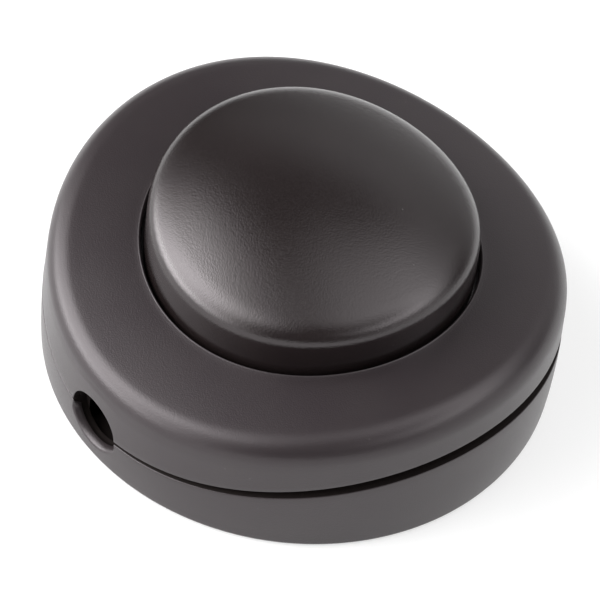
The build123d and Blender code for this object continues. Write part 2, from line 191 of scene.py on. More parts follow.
# Mesh rows
FOOT_SHARES = (0.25, 0.5, 0.7, 0.85, 0.95)
FOOT_EDGE_ROWS = 6
WALL_ROWS = 8
BASE_EDGE_ROWS = 7
BASE_INSIDE_ROWS = 6
BASE_FLOOR_SHARES = (1.0, 0.75, 0.5, 0.25)
COVER_EDGE_ROWS = 5
COVER_INSIDE_ROWS = 5
HOLE_EDGE_ROWS = 9
BEAD_ROWS = 3
TOP_ROWS = 12
SHOULDER_ROWS = 12
CROWN_ROWS = 16
CROWN_EDGE_ROWS = 18
SKIRT_ROWS = 4
UNDER_CROWN_ROWS = 8
CROWN_RIB_STEPS = 24
DISC_SIDES = 36
COIL_SECTIONS = 40
WIRE_SIDES = 14

# Points nearer than this, in metres, become one; edges sharper than this, in degrees, stay crisp
MERGE_DISTANCE = 1e-7
SHARP_ANGLE = 35

# Camera: long lens from the front left, turned a little about its own axis; angles are in radians
CAMERA_AZIMUTH = math.radians(226.66)
CAMERA_ELEVATION = 0.8771
CAMERA_ROLL = 0.1429
CAMERA_DISTANCE = 1000.0
CAMERA_TARGET = Vector((-2.077, -1.634, 12.0))
CAMERA_LENS = 462.35
CAMERA_SENSOR = 36.0
CAMERA_CLIP_METRES = 0.05

# Studio: half the side of the paper in metres, and soft lights placed and sized in degrees.
# A row of lights has an elevation, a height and a level, and a column has an azimuth and a power in watts.
PAPER_HALF_METRES = 3.0
SOFTBOX_DISTANCE = 1500.0
LEFT_WIDTH = 44
LEFT_ROWS = ((8, 30, 1.3), (25, 36, 1.0), (44, 38, 1.0))
LEFT_COLUMNS = ((145, 2), (165, 19), (185, 24), (205, 16), (225, 4))
RIGHT_WIDTH = 50
RIGHT_ROWS = ((8, 30, 0.8), (36, 40, 2.1))
RIGHT_COLUMNS = ((310, 3), (335, 6), (0, 6))
SKY_STRENGTH = 0.12

# Finish
HOUSING_COLOR = (0.0190, 0.0145, 0.0162)
HOUSING_WORN = (0.0225, 0.0180, 0.0192)
BUTTON_COLOR = (0.0085, 0.0060, 0.0060)
BUTTON_WORN = (0.0110, 0.0080, 0.0080)
PLASTIC_TINT = (1.0, 0.94, 0.965, 1.0)
CLOUD_SIZE = 9.0
SPECKLE_SIZE = 0.22
FINE_GRAIN_SIZE = 0.1
FINE_GRAIN_SHARE = 0.2
LINT_COLOR = (0.5, 0.48, 0.47)
LINT_SPACING = 2.2
LINT_SIZE = 0.08
LINT_COVER = 0.16
LINT_TURN = (0.4, 0.9, 0.6)
LINT_STRETCH = (1.0, 0.42, 0.75)
# Painted shade: darker plastic inside the housing, on the seam's ledge and lip and in the inlets
PAINTED_SHADE_COLOR = (0.0085, 0.0062, 0.0058)
PAINTED_SHADE_MOTTLE = (0.0120, 0.0092, 0.0088)
INSIDE_GLOSS = 0.08
PHENOLIC_COLOR = (0.24, 0.115, 0.05)
PHENOLIC_FIBRE = (0.13, 0.06, 0.028)
PAPER_COLOR = (0.49, 0.49, 0.49)
PAPER_SHADE = (0.51, 0.51, 0.51)
PAPER_GLOW = 0.52

# Sockets of a mix node that mixes colours
MIX_FIRST = 6
MIX_SECOND = 7
MIX_RESULT = 2


def arch_radius(fall):
    """Radius of the arch that falls by this much at the housing's two ends."""
    return (HOUSING_RADIUS**2 + fall**2) / (2 * fall)


def arch(ridge, fall, x, inset=0.0):
    """Height of an arched surface whose ridge runs along Y."""
    radius = arch_radius(fall)
    return ridge - radius + np.sqrt((radius - inset) ** 2 - x**2)


def top(x, inset=0.0):
    """Height of the cover's arched top, or of a surface that far below it."""
    return arch(TOP_RIDGE, TOP_FALL, x, inset)


def base_seam(x, y):
    """Height of the base's upper edge."""
    return arch(SEAM_RIDGE - BASE_DROP, SEAM_FALL, x) + 0 * y


def cover_seam(x, y):
    """Height of the cover's lower edge, which is tilted where it stands open."""
    radius = arch_radius(SEAM_FALL)
    center = SEAM_RIDGE + OPEN_GAP - radius
    across = x + center * math.sin(OPEN_TILT_X)
    tilted = center * math.cos(OPEN_TILT_X) + np.sqrt(radius**2 - across**2) - y * math.tan(OPEN_TILT_Y)
    return np.maximum(arch(SEAM_RIDGE + CLOSED_GAP, SEAM_FALL, x), tilted)


def base_wall(z):
    """Outer radius of the base, which is drafted, swells a little and ends flush with the cover."""
    return HOUSING_RADIUS - (HOUSING_RADIUS - FOOT_RADIUS) * (1 - z / SEAM_RIDGE) ** 3


def cover_wall(z):
    """Outer radius of the drafted cover."""
    draft = (HOUSING_RADIUS - COVER_TOP_RADIUS) / (TOP_RIDGE - LOW_SEAM)
    return HOUSING_RADIUS - draft * (z - LOW_SEAM)


def cover_inner_wall(z):
    """Inner radius of the cover."""
    return cover_wall(z) - WALL


def lip_wall(z):
    """Outer radius of the lip that stands inside the cover."""
    return LIP_RADIUS + 0 * z


def rebate_wall(z):
    """Radius of the cover's rebate, which leaves room for the lip."""
    return REBATE_RADIUS + 0 * z


def inner_wall(z):
    """Inner radius of the base."""
    return INNER_RADIUS + 0 * z


def smooth(t):
    """Step from 0 to 1 that starts and ends level."""
    t = np.clip(t, 0, 1)
    return t * t * (3 - 2 * t)


def between(start, end, share):
    """Value or point that lies this share of the way."""
    return start + (end - start) * share


def shares(count):
    """Steps from 0 to 1, both included."""
    return np.linspace(0, 1, count + 1)


def around(angles, radius, z):
    """Ring of points at these angles."""
    return np.stack(np.broadcast_arrays(radius * np.cos(angles), radius * np.sin(angles), z), axis=1)


def pole(count, z):
    """Ring that has shrunk to one point on the axis."""
    return np.tile((0.0, 0.0, z), (count, 1))


def angles_of(ring):
    """Angle of each point about the axis."""
    return np.arctan2(ring[:, 1], ring[:, 0])


def ball_arc(center, radius, start, end, share):
    """Points of a fillet: on balls of one radius, turned from the start normals towards the end normals."""
    angle = np.arccos(np.clip((start * end).sum(1, keepdims=True), -1, 1))
    normal = (np.sin((1 - share) * angle) * start + np.sin(share * angle) * end) / np.sin(angle)
    return center + radius * normal


def soft_edge(angles, height, radius, setback, drop, count):
    """Rings of a rounded edge between a top and a skirt whose curvature grows and fades without a step."""
    controls = []
    for inset in CROWN_EDGE_CONTROLS:
        flat = around(angles, radius - setback * inset, 0.0)
        controls.append(around(angles, radius - setback * inset, height(flat[:, 0], flat[:, 1])))
    corner = around(angles, radius, 0.0)
    for depth in CROWN_EDGE_CONTROLS[::-1]:
        controls.append(around(angles, radius, height(corner[:, 0], corner[:, 1]) - drop * depth))
    degree = len(controls) - 1
    rings = []
    for share in shares(count):
        ring = 0 * corner
        for k, control in enumerate(controls):
            ring += math.comb(degree, k) * share**k * (1 - share) ** (degree - k) * control
        rings.append(ring)
    return rings


def rounding(radius, share):
    """How far below an edge and inside a wall the round between them lies, from the wall to the edge."""
    turn = share * math.pi / 2
    return radius * (1 - math.sin(turn)), radius * (1 - math.cos(turn))


def finish_mesh(mesh):
    """Smooth shading with crisp edges."""
    mesh.shade_smooth()
    mesh.set_sharp_from_angle(angle=math.radians(SHARP_ANGLE))


def mesh_object(name, rings, closed=False, dull=(0, 0)):
    """Piece from rings of points with the same count, each joined to the next by quads.

    The faces from one ring to another that dull names take the piece's second finish, painted shade.
    """
    count = len(rings[0])
    points = np.concatenate(rings) * MM
    faces = []
    last = len(rings) if closed else len(rings) - 1
    for i in range(last):
        here = i * count
        there = (i + 1) % len(rings) * count
        for j in range(count):
            k = (j + 1) % count
            faces.append((here + j, here + k, there + k, there + j))
    mesh = bpy.data.meshes.new(name)
    mesh.from_pydata(points.tolist(), [], faces)
    # These faces take the darker plastic that paints shade inside the housing
    for face in mesh.polygons[dull[0] * count:dull[1] * count]:
        face.material_index = 1
    shape = bmesh.new()
    shape.from_mesh(mesh)
    bmesh.ops.remove_doubles(shape, verts=shape.verts, dist=MERGE_DISTANCE)
    bmesh.ops.dissolve_degenerate(shape, edges=shape.edges, dist=MERGE_DISTANCE / 10)
    bmesh.ops.recalc_face_normals(shape, faces=shape.faces)
    shape.to_mesh(mesh)
    shape.free()
    finish_mesh(mesh)
    piece = bpy.data.objects.new(name, mesh)
    bpy.context.scene.collection.objects.link(piece)
    return piece


def outline_turn(z, up):
    """Where an inlet's outline reaches a height: 0 where it is widest, a quarter turn at its middle."""
    rise = up * (z - INLET_HEIGHT)
    above = up if rise > 0 else -up
    height = INLET_RADIUS if above > 0 else INLET_DEPTH
    return math.asin(rise / height)


def inlet_half(seam, up, wall, rim, mouth, lip, end, side):
    """Half of an inlet's edge, from its corner with the seam to its middle."""
    corner_x = end * math.sqrt(HOUSING_RADIUS**2 - INLET_RADIUS**2)
    corner_z = float(seam(corner_x, side * INLET_RADIUS))
    begin = outline_turn(corner_z, up)
    turns = between(begin, math.pi / 2, shares(NOTCH_COLUMNS))
    if up < 0:
        lip_turns = between(outline_turn(corner_z + lip, up), begin, shares(LIP_COLUMNS))
        turns = np.concatenate([lip_turns[:-1], turns])
    fade = smooth((turns - begin) / FLARE_FADE)
    grow = between(rim[0], mouth[0], fade)
    inset = between(rim[1], mouth[1], fade)
    above = np.where(turns > 0, up, -up)
    height = np.where(above > 0, INLET_RADIUS, INLET_DEPTH) + grow
    y = side * (INLET_RADIUS + grow) * np.cos(turns)
    z = INLET_HEIGHT + up * height * np.sin(turns)
    x = end * np.sqrt((wall(z) - inset) ** 2 - y**2)
    return np.stack([x, y, z], axis=1)


def seam_half(seam, up, wall, rim, lip, start, end, side):
    """Points along the seam between two inlet corners, on the side where Y has this sign."""
    first, last = np.abs(angles_of(np.stack([start, end])))
    angles = side * between(first, last, shares(SEAM_COLUMNS + 1))[1:-1]
    radius = HOUSING_RADIUS
    # Height and radius depend on each other, so a few passes settle both
    for _ in range(3):
        z = seam(radius * np.cos(angles), radius * np.sin(angles)) + up * rim[0] + lip
        radius = wall(z) - rim[1]
    return around(angles, radius, z)


def edge_ring(seam, up, wall, rim=(0.0, 0.0), mouth=None, lip=0.0):
    """Ring along the open edge of a housing half, on its seam and round both inlets.

    up is 1 for the cover and -1 for the base. rim says how far the ring lies in from the edge and in from
    the wall, and mouth says the same for the middle of an inlet. lip is the height of the base's inner lip.
    """
    mouth = mouth or rim
    halves = {}
    for end in (1, -1):
        for side in (1, -1):
            halves[end, side] = inlet_half(seam, up, wall, rim, mouth, lip, end, side)
    far = seam_half(seam, up, wall, rim, lip, halves[1, 1][0], halves[-1, 1][0], 1)
    near = seam_half(seam, up, wall, rim, lip, halves[-1, -1][0], halves[1, -1][0], -1)
    return np.concatenate([
        halves[1, 1][::-1], far, halves[-1, 1], halves[-1, -1][-2::-1], near, halves[1, -1][:-1],
    ])


def wall_rows(start, end, wall, count):
    """Rings between two rings on one wall, without the two."""
    rows = []
    for share in shares(count)[1:-1]:
        z = between(start[:, 2], end[:, 2], share)
        angles = angles_of(between(start, end, share))
        rows.append(around(angles, wall(z), z))
    return rows


def make_base():
    """Lower shell: flat foot, drafted wall, arched edge with its lip, and the lower half of both inlets."""
    first = edge_ring(base_seam, -1, base_wall, (SEAM_ROUNDING, 0), (FLARE_RISE, 0))
    angles = angles_of(first)
    count = len(first)
    foot_center = base_wall(FOOT_EDGE_RADIUS) - FOOT_EDGE_RADIUS
    rings = [pole(count, 0.0)]
    for share in FOOT_SHARES:
        rings.append(around(angles, foot_center * share, 0.0))
    for share in shares(FOOT_EDGE_ROWS):
        inset, rise = rounding(FOOT_EDGE_RADIUS, 1 - share)
        rings.append(around(angles, foot_center + FOOT_EDGE_RADIUS - rise, inset))
    rings += wall_rows(rings[-1], first, base_wall, WALL_ROWS)
    for share in shares(BASE_EDGE_ROWS):
        flare = rounding(1, share)
        mouth = (FLARE_RISE * flare[0], FLARE_LENGTH * flare[1])
        rings.append(edge_ring(base_seam, -1, base_wall, rounding(SEAM_ROUNDING, share), mouth))
    edge_end = len(rings) - 1
    rings.append(edge_ring(base_seam, -1, lip_wall))
    rings.append(edge_ring(base_seam, -1, lip_wall, lip=LIP_HEIGHT))
    rings.append(edge_ring(base_seam, -1, inner_wall, lip=LIP_HEIGHT))
    inner_angles = angles_of(rings[-1])
    corner = around(inner_angles, INNER_RADIUS, FLOOR)
    rings += wall_rows(rings[-1], corner, inner_wall, BASE_INSIDE_ROWS)
    for share in BASE_FLOOR_SHARES:
        rings.append(around(inner_angles, INNER_RADIUS * share, FLOOR))
    rings.append(pole(count, FLOOR))
    return mesh_object("moulded_base", rings, dull=(edge_end, len(rings)))


def shoulder_balls(angles):
    """Centres of the balls that round the cover's shoulder, and normals where they touch top and wall."""
    radius = arch_radius(TOP_FALL) - SHOULDER_RADIUS
    reach = cover_wall(TOP_RIDGE - SHOULDER_RADIUS) - SHOULDER_RADIUS
    x = reach * np.cos(angles)
    z = top(x, SHOULDER_RADIUS)
    up = np.stack([x / radius, 0 * x, np.sqrt(1 - (x / radius) ** 2)], axis=1)
    return around(angles, reach, z), up, around(angles, 1.0, 0.0)


def bead(ring):
    """Ring near the button's hole, lifted where the slightly raised rim of the hole runs."""
    from_hole = np.hypot(ring[:, 0], ring[:, 1]) - HOLE_RADIUS - BEAD_INSET
    ring[:, 2] += BEAD_HEIGHT * np.sin(math.pi * np.clip(from_hole / BEAD_WIDTH, 0, 1)) ** 2
    return ring


def make_cover():
    """Upper shell: arched top with the button's hole, shoulder, wall, rebated edge and inlet arches."""
    rings = []
    for share in shares(COVER_EDGE_ROWS):
        rings.append(edge_ring(cover_seam, 1, cover_wall, rounding(COVER_EDGE_ROUNDING, share)))
    outer_angles = angles_of(rings[0])
    outer_edge = rings[0]
    edge_end = len(rings) - 1
    rings.append(edge_ring(cover_seam, 1, rebate_wall))
    for wall in (rebate_wall, cover_inner_wall):
        step = edge_ring(cover_seam, 1, wall)
        step[:, 2] = np.maximum(step[:, 2], arch(SEAM_RIDGE + REBATE_RISE, SEAM_FALL, step[:, 0]))
        rings.append(step)
    inner_angles = angles_of(rings[-1])
    center, up, out = shoulder_balls(inner_angles)
    inner_round = SHOULDER_RADIUS - WALL
    rings += wall_rows(rings[-1], center + inner_round * out, cover_inner_wall, COVER_INSIDE_ROWS)
    for share in shares(COVER_INSIDE_ROWS):
        rings.append(ball_arc(center, inner_round, out, up, share))
    hole = around(outer_angles, HOLE_RADIUS, top(HOLE_RADIUS * np.cos(outer_angles), WALL))
    start = rings[-1]
    for share in shares(COVER_INSIDE_ROWS)[1:]:
        ring = between(start, hole, share)
        ring[:, 2] = top(ring[:, 0], WALL)
        rings.append(ring)
    hole_start = len(rings) - 1
    rim_radius = HOLE_RADIUS + HOLE_EDGE_RADIUS
    rim_x = rim_radius * np.cos(outer_angles)
    rim_center = around(outer_angles, rim_radius, top(rim_x, HOLE_EDGE_RADIUS))
    arch_normal_radius = arch_radius(TOP_FALL) - HOLE_EDGE_RADIUS
    slope = rim_x / arch_normal_radius
    rim_up = np.stack([slope, 0 * slope, np.sqrt(1 - slope**2)], axis=1)
    inward = -around(outer_angles, 1.0, 0.0)
    for share in shares(HOLE_EDGE_ROWS):
        rings.append(bead(ball_arc(rim_center, HOLE_EDGE_RADIUS, inward, rim_up, share)))
    bead_end = HOLE_RADIUS + BEAD_INSET + BEAD_WIDTH
    for radius in between(rim_radius, bead_end, shares(BEAD_ROWS))[1:]:
        rings.append(bead(around(outer_angles, radius, top(radius * np.cos(outer_angles)))))
    center, up, out = shoulder_balls(outer_angles)
    start = rings[-1]
    end = center + SHOULDER_RADIUS * up
    for share in shares(TOP_ROWS)[1:-1]:
        ring = between(start, end, share)
        ring[:, 2] = top(ring[:, 0])
        rings.append(ring)
    for share in shares(SHOULDER_ROWS):
        rings.append(ball_arc(center, SHOULDER_RADIUS, up, out, share))
    rings += wall_rows(rings[-1], outer_edge, cover_wall, WALL_ROWS)
    return mesh_object("moulded_cover", rings, closed=True, dull=(edge_end, hole_start))


def crown(x, y, inset=0.0):
    """Height of the button's crown, which is curved more along X so that its edge follows the top."""
    rise_x = CROWN_RISE + float(TOP_RIDGE - top(BUTTON_RADIUS))
    radius_x = (BUTTON_RADIUS**2 + rise_x**2) / (2 * rise_x)
    radius_y = (BUTTON_RADIUS**2 + CROWN_RISE**2) / (2 * CROWN_RISE)
    turned = radius_y - radius_x + np.sqrt((radius_x - inset) ** 2 - x**2)
    return BUTTON_APEX - radius_y + np.sqrt(turned**2 - y**2)


def crown_rows(ring, inset, count):
    """Rings from one ring on the crown to its apex."""
    rows = []
    for share in shares(count)[1:-1]:
        flat = ring * (1 - share)
        flat[:, 2] = crown(flat[:, 0], flat[:, 1], inset)
        rows.append(flat)
    rows.append(pole(len(ring), float(crown(0.0, 0.0, inset))))
    return rows


def button_angles():
    """Columns round the button, doubled at the sides of its two keys, and which of them lie on a key."""
    corner = math.asin(KEY_HALF_WIDTH / FLANGE_RADIUS)
    key = between(-corner, corner, shares(KEY_COLUMNS - 1))
    free = between(corner, math.pi - corner, shares(BUTTON_COLUMNS))
    angles = np.concatenate([key, free, key + math.pi, free + math.pi])
    is_key = np.ones(len(key), bool)
    is_free = np.zeros(len(free), bool)
    return angles, np.concatenate([is_key, is_free, is_key, is_free])


def make_button():
    """Domed push button: crown, round edge, skirt, and the flange with its keys under the cover."""
    angles, on_key = button_angles()
    flange = around(angles, FLANGE_RADIUS, 0.0)
    flange[on_key, 0] = np.sign(np.cos(angles[on_key])) * KEY_REACH
    edge = soft_edge(angles, crown, BUTTON_RADIUS, CROWN_EDGE_SETBACK, CROWN_EDGE_DROP, CROWN_EDGE_ROWS)
    rings = crown_rows(edge[0], 0.0, CROWN_ROWS)[::-1] + edge
    skirt = rings[-1]
    for share in shares(SKIRT_ROWS)[1:]:
        ring = around(angles, BUTTON_RADIUS, 0.0)
        ring[:, 2] = between(skirt[:, 2], top(ring[:, 0], FLANGE_TOP), share)
        rings.append(ring)
    inner = around(angles, SKIRT_INNER_RADIUS, 0.0)
    for outline, inset in ((flange, FLANGE_TOP), (flange, FLANGE_BOTTOM), (inner, FLANGE_BOTTOM)):
        ring = outline.copy()
        ring[:, 2] = top(ring[:, 0], inset)
        rings.append(ring)
    skirt_end = len(rings) - 1
    under_crown = inner.copy()
    under_crown[:, 2] = crown(inner[:, 0], inner[:, 1], CROWN_THICKNESS)
    rings.append(under_crown)
    rings += crown_rows(under_crown, CROWN_THICKNESS, UNDER_CROWN_ROWS)
    return mesh_object("domed_button", rings, dull=(skirt_end, len(rings)))


def disc(x, y, radius):
    """Round outline."""
    turns = 2 * math.pi * np.arange(DISC_SIDES) / DISC_SIDES
    return np.stack([x + radius * np.cos(turns), y + radius * np.sin(turns)], axis=1)


def block(low_x, high_x, low_y, high_y):
    """Outline with four corners."""
    return np.array([(low_x, low_y), (high_x, low_y), (high_x, high_y), (low_x, high_y)])


def around_middle(x, y, width, depth):
    """Outline with four corners round a middle."""
    return block(x - width / 2, x + width / 2, y - depth / 2, y + depth / 2)


def prism(outline, low, high):
    """Mesh of an upright prism, whose upper height may differ by corner."""
    shape = bmesh.new()
    heights = np.broadcast_to(high, len(outline))
    lower = [shape.verts.new((x * MM, y * MM, low * MM)) for x, y in outline]
    upper = [shape.verts.new((x * MM, y * MM, z * MM)) for (x, y), z in zip(outline, heights)]
    shape.faces.new(lower[::-1])
    shape.faces.new(upper)
    for j in range(len(outline)):
        k = (j + 1) % len(outline)
        shape.faces.new((lower[j], lower[k], upper[k], upper[j]))
    # Inner forms and holes take the second finish, darker plastic that paints shade inside the housing
    for face in shape.faces:
        face.material_index = 1
    bmesh.ops.triangulate(shape, faces=[face for face in shape.faces if len(face.verts) > 4])
    bmesh.ops.recalc_face_normals(shape, faces=shape.faces)
    mesh = bpy.data.meshes.new("prism")
    shape.to_mesh(mesh)
    shape.free()
    return mesh


def carve(piece, forms, holes):
    """Adds inner forms to a moulded piece, then cuts holes; new faces take its second finish, painted
    shade.
    """
    steps = [(form, "UNION") for form in forms] + [(hole, "DIFFERENCE") for hole in holes]
    for form, operation in steps:
        tool = bpy.data.objects.new("tool", prism(*form))
        for finish in piece.data.materials:
            tool.data.materials.append(finish)
        bpy.context.scene.collection.objects.link(tool)
        change = piece.modifiers.new("change", "BOOLEAN")
        change.operation = operation
        change.solver = "MANIFOLD"
        change.object = tool
        graph = bpy.context.evaluated_depsgraph_get()
        mesh = bpy.data.meshes.new_from_object(piece.evaluated_get(graph))
        piece.modifiers.clear()
        plain = piece.data
        piece.data = mesh
        mesh.name = piece.name
        bpy.data.meshes.remove(plain)
        bpy.data.objects.remove(tool)
    finish_mesh(piece.data)


def mirrored(place):
    """A place and its mirror images in X and Y."""
    x, y = place
    return sorted({(i * x, j * y) for i in (1, -1) for j in (1, -1)})


def base_forms():
    """Bosses, columns, cord saddles and terminal pockets that stand on the base's floor."""
    forms = [(disc(0, 0, PIVOT_RADIUS), ROOT, PIVOT_TOP)]
    for x, y in mirrored(BOSS):
        forms.append((disc(x, y, BOSS_RADIUS), ROOT, BOSS_TOP))
    for x, y in mirrored(COLUMN):
        forms.append((disc(x, y, COLUMN_RADIUS), ROOT, COLUMN_TOP))
    for x, y in mirrored(CLAMP):
        forms.append((disc(x, y, CLAMP_BOSS_RADIUS), ROOT, CLAMP_BOSS_TOP))
        low_x, high_x = sorted((x, math.copysign(CLAMP_RIB_END, x)))
        half = CLAMP_RIB_WIDTH / 2
        forms.append((block(low_x, high_x, y - half, y + half), ROOT, CLAMP_RIB_TOP))
    for x, y in mirrored(SADDLE):
        forms.append((around_middle(x, y, *SADDLE_SIZE), ROOT, SADDLE_TOP))
    for x in (LEAF_X, -LEAF_X):
        forms.append((around_middle(x, LEAF_Y, *LEAF_POST_SIZE), ROOT, LEAF_POST_TOP))
    for x, y in mirrored(POCKET):
        for side in (1, -1):
            wall_y = y + side * POCKET_WALL_OFFSET
            forms.append((around_middle(x, wall_y, *POCKET_WALL_SIZE), ROOT, POCKET_TOP))
            for end in (1, -1):
                end_x = x + end * POCKET_END_OFFSET[0]
                end_y = y + side * POCKET_END_OFFSET[1]
                forms.append((around_middle(end_x, end_y, *POCKET_END_SIZE), ROOT, POCKET_TOP))
    return forms


def base_holes():
    """Counterbores and screw holes, the pin's hole and the slots of the leaf spring."""
    holes = [(disc(0, 0, PIVOT_HOLE_RADIUS), PIVOT_HOLE_BOTTOM, PIVOT_TOP + CUT_MARGIN)]
    for x, y in mirrored(BOSS):
        holes.append((disc(x, y, COUNTERBORE_RADIUS), -CUT_MARGIN, COUNTERBORE_DEPTH))
        holes.append((disc(x, y, BOSS_HOLE_RADIUS), COUNTERBORE_DEPTH - CUT_MARGIN, BOSS_TOP + CUT_MARGIN))
    for x, y in mirrored(COLUMN):
        holes.append((disc(x, y, COLUMN_HOLE_RADIUS), COLUMN_HOLE_BOTTOM, COLUMN_TOP + CUT_MARGIN))
    for x, y in mirrored(CLAMP):
        holes.append((disc(x, y, CLAMP_HOLE_RADIUS), CLAMP_HOLE_BOTTOM, CLAMP_BOSS_TOP + CUT_MARGIN))
    for x in (LEAF_X, -LEAF_X):
        slot = around_middle(x, LEAF_Y, *LEAF_SLOT_SIZE)
        holes.append((slot, LEAF_SLOT_BOTTOM, LEAF_POST_TOP + CUT_MARGIN))
    return holes


def cover_forms():
    """Boss feet over the base's bosses and the ribs that guide the button's keys."""
    forms = []
    for x, y in mirrored(BOSS):
        forms.append((disc(x, y, BOSS_FOOT_RADIUS), BOSS_TOP, BOSS_FOOT_TOP))
    for x, y in mirrored(KEY_RIB):
        forms.append((around_middle(x, y, *KEY_RIB_SIZE), KEY_RIB_BOTTOM, KEY_RIB_TOP))
    return forms


def cover_holes():
    """Holes of the housing screws in the boss feet."""
    holes = []
    for x, y in mirrored(BOSS):
        holes.append((disc(x, y, BOSS_FOOT_HOLE_RADIUS), BOSS_TOP - CUT_MARGIN, BOSS_FOOT_HOLE_TOP))
    return holes


def button_forms():
    """Tube for the plunger and crossed ribs that end inside the crown."""
    forms = [(disc(0, 0, TUBE_RADIUS), TUBE_BOTTOM, TUBE_TOP)]
    along = between(-CROWN_RIB_REACH, CROWN_RIB_REACH, shares(CROWN_RIB_STEPS))
    for turn in CROWN_RIB_TURNS:
        ahead = np.array((math.cos(turn), math.sin(turn)))
        aside = CROWN_RIB_WIDTH / 2 * np.array((-ahead[1], ahead[0]))
        near = along[:, None] * ahead - aside
        far = along[::-1, None] * ahead + aside
        outline = np.concatenate([near, far])
        rib_top = crown(outline[:, 0], outline[:, 1], CROWN_RIB_ROOT)
        forms.append((outline, CROWN_RIB_BOTTOM, rib_top))
    return forms


def button_holes():
    """Seat of the plunger in its tube."""
    return [(disc(0, 0, TUBE_HOLE_RADIUS), TUBE_BOTTOM - CUT_MARGIN, TUBE_HOLE_TOP)]


def make_spring():
    """Coil spring of round wire with its ends cut square."""
    rise = SPRING_TOP - SPRING_BOTTOM - 2 * WIRE_RADIUS
    round_wire = 2 * math.pi * np.arange(WIRE_SIDES) / WIRE_SIDES
    rings = []
    for share in shares(int(COIL_SECTIONS * SPRING_TURNS)):
        turn = 2 * math.pi * SPRING_TURNS * share
        middle = SPRING_BOTTOM + WIRE_RADIUS + rise * share
        radius = SPRING_RADIUS + WIRE_RADIUS * np.cos(round_wire)
        height = middle + WIRE_RADIUS * np.sin(round_wire)
        rings.append(around(np.full(WIRE_SIDES, turn), radius, height))
    for ring, place in ((rings[0], 0), (rings[-1], len(rings) + 1)):
        rings.insert(place, np.tile(ring.mean(axis=0), (WIRE_SIDES, 1)))
    return mesh_object("coil_spring", rings)


def shader(name):
    """New material with its node tree and its main shader."""
    material = bpy.data.materials.new(name)
    material.use_nodes = True
    return material, material.node_tree, material.node_tree.nodes["Principled BSDF"]


def add(tree, kind, **values):
    """New node; a value is an attribute of the node or one of its inputs."""
    node = tree.nodes.new(kind)
    for name, value in values.items():
        if name in node.inputs.keys():
            node.inputs[name].default_value = value
        else:
            setattr(node, name, value)
    return node


def noise(tree, size, detail=2.0, roughness=0.5):
    """Noise whose features are about this many millimetres across."""
    place = add(tree, "ShaderNodeTexCoord")
    texture = add(tree, "ShaderNodeTexNoise", Scale=1 / (size * MM), Detail=detail, Roughness=roughness)
    tree.links.new(place.outputs["Object"], texture.inputs["Vector"])
    return texture.outputs["Fac"]


def ramp(tree, factor, low, high, from_low=0.3, from_high=0.7):
    """Maps a factor to a range of numbers."""
    node = add(tree, "ShaderNodeMapRange", clamp=True)
    for name, value in (("From Min", from_low), ("From Max", from_high), ("To Min", low), ("To Max", high)):
        node.inputs[name].default_value = value
    tree.links.new(factor, node.inputs["Value"])
    return node.outputs["Result"]


def mix(tree, factor, first, second):
    """Colour between two colours."""
    node = add(tree, "ShaderNodeMix", data_type="RGBA")
    tree.links.new(factor, node.inputs["Factor"])
    for socket, color in ((node.inputs[MIX_FIRST], first), (node.inputs[MIX_SECOND], second)):
        if isinstance(color, tuple):
            socket.default_value = (*color, 1.0)
        else:
            tree.links.new(color, socket)
    return node.outputs[MIX_RESULT]


def bump(tree, height, depth, below=None):
    """Surface relief of this depth in millimetres, on top of another relief."""
    node = add(tree, "ShaderNodeBump", Strength=1.0, Distance=depth * MM)
    tree.links.new(height, node.inputs["Height"])
    if below is not None:
        tree.links.new(below, node.inputs["Normal"])
    return node.outputs["Normal"]


def dust(tree, spacing, size):
    """Mask of scattered specks of lint: where the surface cuts stretched balls round random points."""
    place = add(tree, "ShaderNodeTexCoord")
    turned = add(tree, "ShaderNodeMapping")
    turned.inputs["Rotation"].default_value = LINT_TURN
    turned.inputs["Scale"].default_value = LINT_STRETCH
    cells = add(tree, "ShaderNodeTexVoronoi", Scale=1 / (spacing * MM), Randomness=1.0)
    tree.links.new(place.outputs["Object"], turned.inputs["Vector"])
    tree.links.new(turned.outputs["Vector"], cells.inputs["Vector"])
    reach = size / spacing
    return ramp(tree, cells.outputs["Distance"], 1.0, 0.0, 0.3 * reach, reach)


def stipple(tree, size):
    """Height of small round grains of this size, packed at random."""
    place = add(tree, "ShaderNodeTexCoord")
    cells = add(tree, "ShaderNodeTexVoronoi", Scale=1 / (size * MM), Randomness=1.0)
    tree.links.new(place.outputs["Object"], cells.inputs["Vector"])
    return ramp(tree, cells.outputs["Distance"], 1.0, 0.0, 0.0, 0.8)


def black_plastic(name, color, worn, rough, speckle, grain_size, grain_depth, gloss):
    """Black moulded plastic with a fine satin grain, a little lint and faint cloudy wear."""
    material, tree, main = shader(name)
    clouds = noise(tree, CLOUD_SIZE, detail=4.0)
    tint = mix(tree, ramp(tree, clouds, 0.0, 1.0), color, worn)
    lint = ramp(tree, dust(tree, LINT_SPACING, LINT_SIZE), 0.0, LINT_COVER, 0.0, 1.0)
    tree.links.new(mix(tree, lint, tint, LINT_COLOR), main.inputs["Base Color"])
    satin = ramp(tree, noise(tree, SPECKLE_SIZE), rough - speckle, rough + speckle)
    tree.links.new(satin, main.inputs["Roughness"])
    relief = bump(tree, stipple(tree, grain_size), grain_depth)
    fine = noise(tree, FINE_GRAIN_SIZE, detail=1.0)
    fine_relief = bump(tree, fine, FINE_GRAIN_SHARE * grain_depth, below=relief)
    tree.links.new(fine_relief, main.inputs["Normal"])
    main.inputs["IOR"].default_value = gloss
    main.inputs["Specular Tint"].default_value = PLASTIC_TINT
    return material


